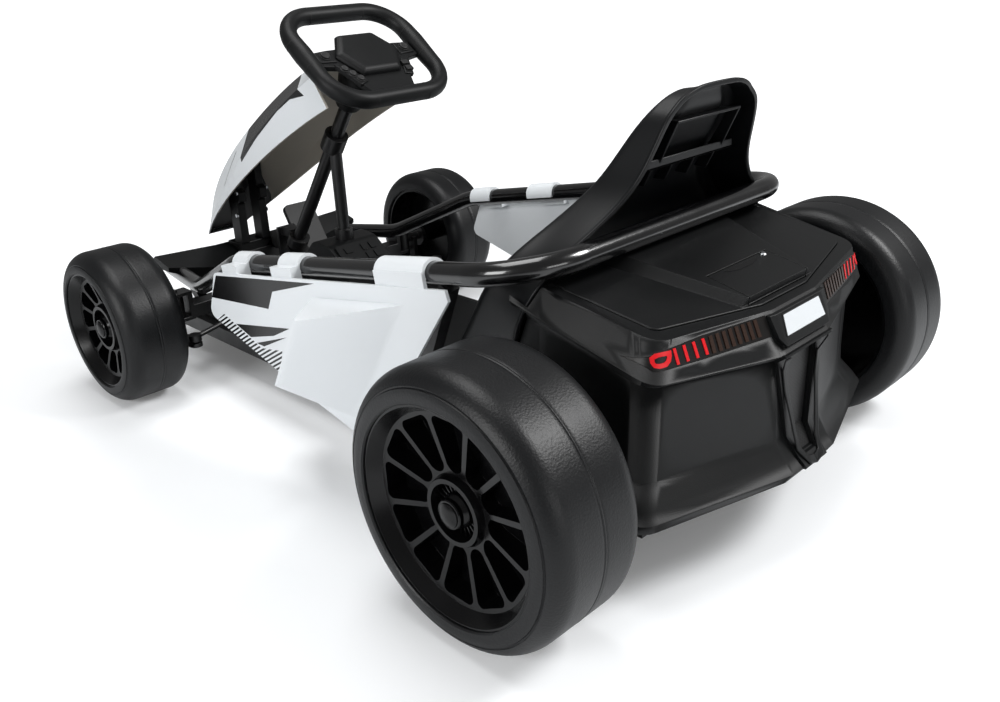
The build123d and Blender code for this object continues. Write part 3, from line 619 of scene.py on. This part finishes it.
def tail_lamp(hand):
    """Open oval and four bars of red film, then fluted smoked lens up to the plate's housing; the flutes are painted
    a lighter brown than the lens they belong to, a painted highlight.
    """
    lift, film, flute = 0.1, 0.7, 0.8
    side = 1 if hand == "left" else -1
    node = f"tail_lamp_{hand}"
    tree = surface(node, "rear_body", "plate_pod")
    oval = [(209, 268), (208, 273), (204, 276.5), (197, 277.5), (189, 277.5), (189.5, 272), (192, 267),
            (197, 263.5), (204, 262.8), (208, 264)]
    hole = [(206, 269), (205.5, 271.5), (202, 273.2), (199, 273.6), (194.5, 273.4), (194.8, 271.5),
            (196.5, 269), (199, 267.6), (203, 267.2), (205.5, 267.6)]
    bm = bmesh.new()
    laid_strip(bm, tree, to_side(oval + oval[:1], side), to_side(hole + hole[:1], side), lift, film)
    bar_half, bar_lean = 1.7, 2
    for x in (183, 170.5, 158, 145.5):
        lower = [(x - bar_half, 262), (x + bar_half, 262)]
        upper = [(x + bar_lean - bar_half, 278.2), (x + bar_lean + bar_half, 278.2)]
        laid_strip(bm, tree, to_side(lower, side), to_side(upper, side), lift, film)
    piece(f"{node}_film", bm, "red", "chassis", sharp=40)
    bm = bmesh.new()
    flutes, first_flute, flute_step = 8, 136, 9
    for i in range(flutes):
        x = first_flute - i * flute_step
        lower = [(x + 2.5, 261), (x - 2, 261)]
        upper = [(x + 3.5, 278.5), (x - 1, 278.5)]
        laid_strip(bm, tree, to_side(lower, side), to_side(upper, side), lift, flute)
    piece(f"{node}_flutes", bm, "flute", "chassis", sharp=40)


def grille_rim():
    """Rounded rim that stands up round the V-shaped mesh."""
    tree = surface("grille_frame", "rear_body", "plate_pod")
    outer = [(47, 232), (40, 214), (36, 190), (24, 118), (15, 102), (0, 100)]
    inner = [(40, 234), (34, 214), (29.5, 190), (17.5, 121), (11, 109), (0, 107)]
    bm = bmesh.new()
    for side in (1, -1):
        laid_strip(bm, tree, to_side(inner, side), to_side(outer, side), 0.1, 2.2)
    bmesh.ops.remove_doubles(bm, verts=bm.verts, dist=1e-5)
    round_edges(piece("grille_rim", bm, "plastic", "chassis"), 0.9)


def plate():
    """Blank white plate with a dark edge, painted shade of the gap round it, on the sloping face of its housing."""
    tree = surface("plate_pod")
    for name, paint, slot, grow, lift, thickness in (
            ("plate_border", "painted_shadow_gap", "black_plastic", 1.2, 0.05, 0.5),
            ("plate_face", "plate", "white_plastic", 0, 0.5, 0.4)):
        lower = [(x, 255.5 - grow) for x in (-40 - grow, -20, 0, 20, 40 + grow)]
        upper = [(x, 275.5 + grow) for x in (-37 - grow, -18, 0, 18, 37 + grow)]
        bm = bmesh.new()
        laid_strip(bm, tree, lower, upper, lift, thickness)
        piece(name, bm, paint, "chassis", sharp=40)


def hatch_details():
    """Finger recess and screw of the hatch, laid on its top; the recess is a flat, darker and glossier sheet,
    painted shade where the hollow is.
    """
    tree = surface("rear_hatch")
    bm = bmesh.new()
    # Painted shade: a flat dark sheet stands for the finger recess's hollow.
    verts = []
    for x, y in ((-34, 62), (34, 62), (26, 66), (12, 69), (-12, 69), (-26, 66)):
        place, normal = from_above(tree, x, y)
        verts.append(bm.verts.new(place + normal * 0.25 * MM))
    bm.faces.new(verts)
    piece("hatch_finger_recess", bm, "gloss_black", "hatch", sharp=40)
    bm = bmesh.new()
    head, up = from_above(tree, -46, 62)
    turned(bm, [(-0.5, 4.4), (0.9, 4.2), (1.9, 3.0), (2.4, 1.4), (2.5, 0.01)], head, up, 28)
    piece("hatch_screw", bm, "zinc", "hatch", sharp=30)


for hand in ("left", "right"):
    tail_lamp(hand)
grille_rim()
plate()
hatch_details()


# Steering wheel

WHEEL_CENTRE = point(0, -575, 503)
GRIP_HALF_WIDTH = 102.5      # to the middle line of the grip
GRIP_HALF_HEIGHT = 89.5
GRIP_CORNER = 53.5
GRIP_RADIUS = 12.5


def on_wheel(u, v, n):
    """A place on the steering wheel: right, up and out of its plane, as its driver sees it."""
    return WHEEL_CENTRE + Vector((-u, -0.799 * v + 0.602 * n, 0.602 * v + 0.799 * n)) * MM


WHEEL_AXIS = (on_wheel(0, 0, 1) - WHEEL_CENTRE).normalized()


def grip_radius(u, v):
    """Radius of the grip at a place on its middle line, with a thicker hold on each side."""
    hold = 1.8 * max(0, 1 - abs(v - 12) / 46) if abs(u) > 80 else 0
    return GRIP_RADIUS + hold


def grip_line():
    """Middle line of the grip: four round corners, with points about every 5 mm between them."""
    corners = []
    for side, height, start in ((1, 1, 0), (-1, 1, 90), (-1, -1, 180), (1, -1, 270)):
        centre = (side * (GRIP_HALF_WIDTH - GRIP_CORNER), height * (GRIP_HALF_HEIGHT - GRIP_CORNER))
        corners += arc(centre, GRIP_CORNER, start, start + 90, 18)
    line = []
    for (u0, v0), (u1, v1) in zip(corners, corners[1:] + corners[:1]):
        steps = max(1, round(((u1 - u0) ** 2 + (v1 - v0) ** 2) ** 0.5 / 5))
        line += [(u0 + (u1 - u0) * k / steps, v0 + (v1 - v0) * k / steps) for k in range(steps)]
    return line


def wheel_grip():
    """Closed tube along the grip's middle line."""
    sides = 20
    line = grip_line()
    bm = bmesh.new()
    rings = []
    for k, (u, v) in enumerate(line):
        (u0, v0), (u1, v1) = line[k - 1], line[(k + 1) % len(line)]
        run = Vector((u1 - u0, v1 - v0)).normalized()
        out = Vector((run.y, -run.x))
        r = grip_radius(u, v)
        angles = [2 * pi * j / sides for j in range(sides)]
        rings.append([bm.verts.new(on_wheel(u + out.x * r * cos(a) * 0.98, v + out.y * r * cos(a) * 0.98,
                                            r * sin(a) * 1.02)) for a in angles])
    for ring, following in zip(rings, rings[1:] + rings[:1]):
        band(bm, ring, following)
    piece("wheel_grip", bm, "grip", "column", ["steering_rim"], 60)


def grip_seams():
    """Dark rings, painted shade in the gaps where the grip's mouldings meet, on its straight stretches."""
    top, side = GRIP_HALF_HEIGHT, GRIP_HALF_WIDTH
    bm = bmesh.new()
    for u, v in ((47, top), (-47, top), (47, -top), (-47, -top), (side, -16), (-side, -16), (side, 33), (-side, 33)):
        along = (1, 0) if abs(v) == top else (0, 1)
        centre = on_wheel(u, v, 0)
        axis = (on_wheel(u + along[0], v + along[1], 0) - centre).normalized()
        r = grip_radius(u, v) + 0.1
        turned(bm, [(-0.5, r - 1), (-0.5, r), (0.5, r), (0.5, r - 1)], centre, axis, 32)
    # Painted shade: the seam rings take the shadow gap paint.
    piece("grip_seams", bm, "painted_shadow_gap", "column", sharp=30)


def hub_plate():
    """Plate between the grip's sides, with raised fields under its buttons."""
    bm = bmesh.new()
    for outline, low, high in (
            ([(-96, 14), (-62, 17), (62, 17), (96, 14), (96, -12), (60, -19), (36, -82), (-36, -82),
              (-60, -19), (-96, -12)], -9, 0),
            ([(-68, -14), (-52, -16), (-33, -54), (-49, -60)], -5, 2),
            ([(68, -14), (52, -16), (38, -50), (52, -54)], -5, 2),
            ([(-86, 12), (-58, 14), (-58, -10), (-86, -8)], -1, 2),
            ([(86, 12), (58, 14), (58, -10), (86, -8)], -1, 2)):
        solid_of(bm, outline, on_wheel, low, high)
    round_edges(piece("wheel_hub_plate", bm, "grip", "column"), 1.6, 3)


def wheel_buttons():
    """Round buttons in dished collars and two oblong ones."""
    bm = bmesh.new()
    for u, v, r in ((-72, 3, 7), (72, 3, 7), (-58, -27, 5.2), (-51, -38, 5.2), (-44, -49, 5.2)):
        outline = [(0, r + 1.4), (1.0, r + 1.2), (1.2, r + 0.3), (0.6, r), (3.2, r - 0.3), (3.9, r - 1.4),
                   (3.5, 0.01)]
        turned(bm, outline, on_wheel(u, v, 2), WHEEL_AXIS, 32)
    for v in (-30, -42):
        solid_of(bm, [(44, v - 4), (56, v - 4), (56, v + 4), (44, v + 4)], on_wheel, 1, 4.6)
    piece("wheel_buttons", bm, "key", "column", sharp=30)


def wheel_pad():
    """Six-sided pad with rounded edges."""
    outline = [(-57, -1), (-33, 38), (33, 38), (57, -1), (35, -43), (-35, -43)]
    middle_v = -2
    bm = bmesh.new()
    low, ledge, top = (
        [bm.verts.new(on_wheel(u * share, middle_v + (v - middle_v) * share, n)) for u, v in outline]
        for share, n in ((1, -1), (0.99, 5), (0.84, 10)))
    band(bm, low, ledge)
    band(bm, ledge, top)
    bm.faces.new(top)
    bm.faces.new(reversed(low))
    pad = piece("wheel_pad", bm, "grip", "column", ["steering_pad"], 30)
    round_edges(pad, 4.5, 5, 10)


def wheel_boss():
    """Boss behind the hub plate, down to the column, and the block on its right."""
    bm = bmesh.new()
    turned(bm, [(-9, 33), (-34, 31), (-64, 25), (-92, 21), (-98, 18), (-98, 9)], WHEEL_CENTRE, WHEEL_AXIS, 40)
    solid_of(bm, [(10, -14), (50, -10), (50, 16), (10, 20)], on_wheel, -90, -64)
    round_edges(piece("wheel_boss", bm, "grip", "column"), 1.5)


wheel_grip()
grip_seams()
hub_plate()
wheel_buttons()
wheel_pad()
wheel_boss()


# Nose post

def post_bolts():
    """Bolt heads on the outer sides of the two arms that carry the nose shield."""
    head = [(0, 4.5), (2, 4.5), (3, 3.5), (3, 0.01)]
    tree = surface("nose_post")
    bm = bmesh.new()
    for side in (1, -1):
        out = Vector((side, 0, 0))
        for y, z in ((-957, 248), (-966, 205)):
            place, _, _, _ = tree.ray_cast(point(side * 200, y, z), -out)
            turned(bm, head, place, out, 6)
    piece("nose_post_bolts", bm, "zinc", "chassis", sharp=30)


post_bolts()


# CAD pieces with rounded edges

def inner_side(name, paint):
    """The faces of a shell that look inwards take another paint: painted shade on its inner side."""
    mesh = bpy.data.objects[name].data
    mesh.materials.append(paints[paint])
    for face in mesh.polygons:
        outwards = Vector((face.center.x, -0.05, 0.06))
        if face.normal.dot(outwards) < 0:
            face.material_index = 1


for name, width in (
        ("rear_deck", 2.4), ("rear_hatch", 2.0), ("plate_pod", 2.4), ("grille_frame", 1.6),
        ("console", 2.5), ("switch_panel", 0.8), ("pedal_right", 1.6), ("foot_wing_left", 4),
        ("foot_wing_right", 4), ("nose_panel", 1.6), ("nose_post", 2.4), ("lower_frame", 2),
        ("floor_pan", 1), ("front_axle_beam", 1.5), ("knuckle_left", 1.2), ("knuckle_right", 1.2),
        ("steering_column", 1), ("column_brace", 1.2), ("column_bearing", 1.2), ("side_pod_left", 1),
        ("side_pod_right", 1), ("gearbox_left", 3), ("gearbox_right", 3), ("battery", 3)):
    eased(name, width)
eased("rear_body", 1.2, weighted=False)
# Painted shade: the nose shield's inward faces are painted grey.
inner_side("nose_panel_eased", "nose_inner")


# Camera, floor and light

def camera():
    """The photograph's viewpoint: behind the left rear wheel, looking down at the kart."""
    yaw, pitch, roll = 0.774, -0.4028, -0.0441
    place = (0.8784, 1.0433, 0.6339)
    along = Vector((-sin(yaw) * cos(pitch), -cos(yaw) * cos(pitch), sin(pitch)))
    level = along.cross(Vector((0, 0, 1))).normalized()
    upright = level.cross(along)
    right = cos(roll) * level + sin(roll) * upright
    up = -sin(roll) * level + cos(roll) * upright
    lens = bpy.data.cameras.new("photo_camera")
    lens.sensor_width = 36
    lens.lens = 33.8
    lens.clip_start = 0.01
    eye = bpy.data.objects.new("photo_camera", lens)
    turn = Matrix((right, up, -along)).transposed().to_4x4()
    eye.matrix_world = Matrix.Translation(place) @ turn
    bpy.context.scene.collection.objects.link(eye)
    bpy.context.scene.camera = eye


def floor():
    """Large pale floor: it shows the kart's soft shadow and is near white to the camera."""
    bm = bmesh.new()
    bmesh.ops.create_grid(bm, x_segments=1, y_segments=1, size=40)
    mesh = bpy.data.meshes.new("studio_floor")
    bm.to_mesh(mesh)
    bm.free()
    made, tree, shader, place = material("matt_paper_white", "#eef0f2", 0.9, Specular_IOR_Level=0.1)
    ray = add(tree, "ShaderNodeLightPath")
    away = add(tree, "ShaderNodeVectorMath", {"operation": "LENGTH"}, _0=place)
    ramp = add(tree, "ShaderNodeMapRange", {"From Min": 0.5, "From Max": 2.2, "To Min": 0.12, "To Max": 1.0},
               Value=away.outputs["Value"])
    glow = add(tree, "ShaderNodeMath", {"operation": "MULTIPLY"}, _0=ray.outputs["Is Camera Ray"],
               _1=ramp.outputs["Result"])
    shader.inputs["Emission Color"].default_value = (1, 1, 1, 1)
    tree.links.new(glow.outputs[0], shader.inputs["Emission Strength"])
    mesh.materials.append(made)
    sheet = bpy.data.objects.new("studio_floor", mesh)
    bpy.context.scene.collection.objects.link(sheet)


def area_light(name, place, aim, size, power):
    """A softbox at a place, turned to what it lights; size in metres, power in watts."""
    lamp = bpy.data.lights.new(name, "AREA")
    lamp.shape = "RECTANGLE"
    lamp.size, lamp.size_y = size
    lamp.energy = power
    holder = bpy.data.objects.new(name, lamp)
    holder.location = place
    holder.rotation_euler = (Vector(aim) - Vector(place)).to_track_quat("-Z", "Y").to_euler()
    bpy.context.scene.collection.objects.link(holder)


def studio():
    """Pale room with softboxes overhead, to the left, behind on the right and low behind."""
    world = bpy.data.worlds.new("pale_room")
    bpy.context.scene.world = world
    world.use_nodes = True
    tree = world.node_tree
    room = tree.nodes["Background"]
    room.inputs["Color"].default_value = (1, 1, 1, 1)
    ray = add(tree, "ShaderNodeLightPath")
    strength = add(tree, "ShaderNodeMapRange", {"To Min": 0.22, "To Max": 1.0}, Value=ray.outputs["Is Camera Ray"])
    tree.links.new(strength.outputs["Result"], room.inputs["Strength"])
    area_light("overhead_softbox", (0.2, -0.2, 2.4), (0, 0, 0.2), (1.6, 1.2), 32)
    area_light("side_softbox", (2.6, 0.3, 1.2), (0, 0, 0.2), (1.2, 0.9), 34)
    area_light("rear_softbox", (-1.3, 1.7, 2.0), (0.1, 0.4, 0.2), (0.8, 0.8), 58)
    area_light("low_rear_softbox", (0.4, 2.8, 0.7), (0, 0.4, 0.2), (1.2, 0.5), 8)


camera()
floor()
studio()
bpy.context.scene.view_settings.view_transform = "Standard"
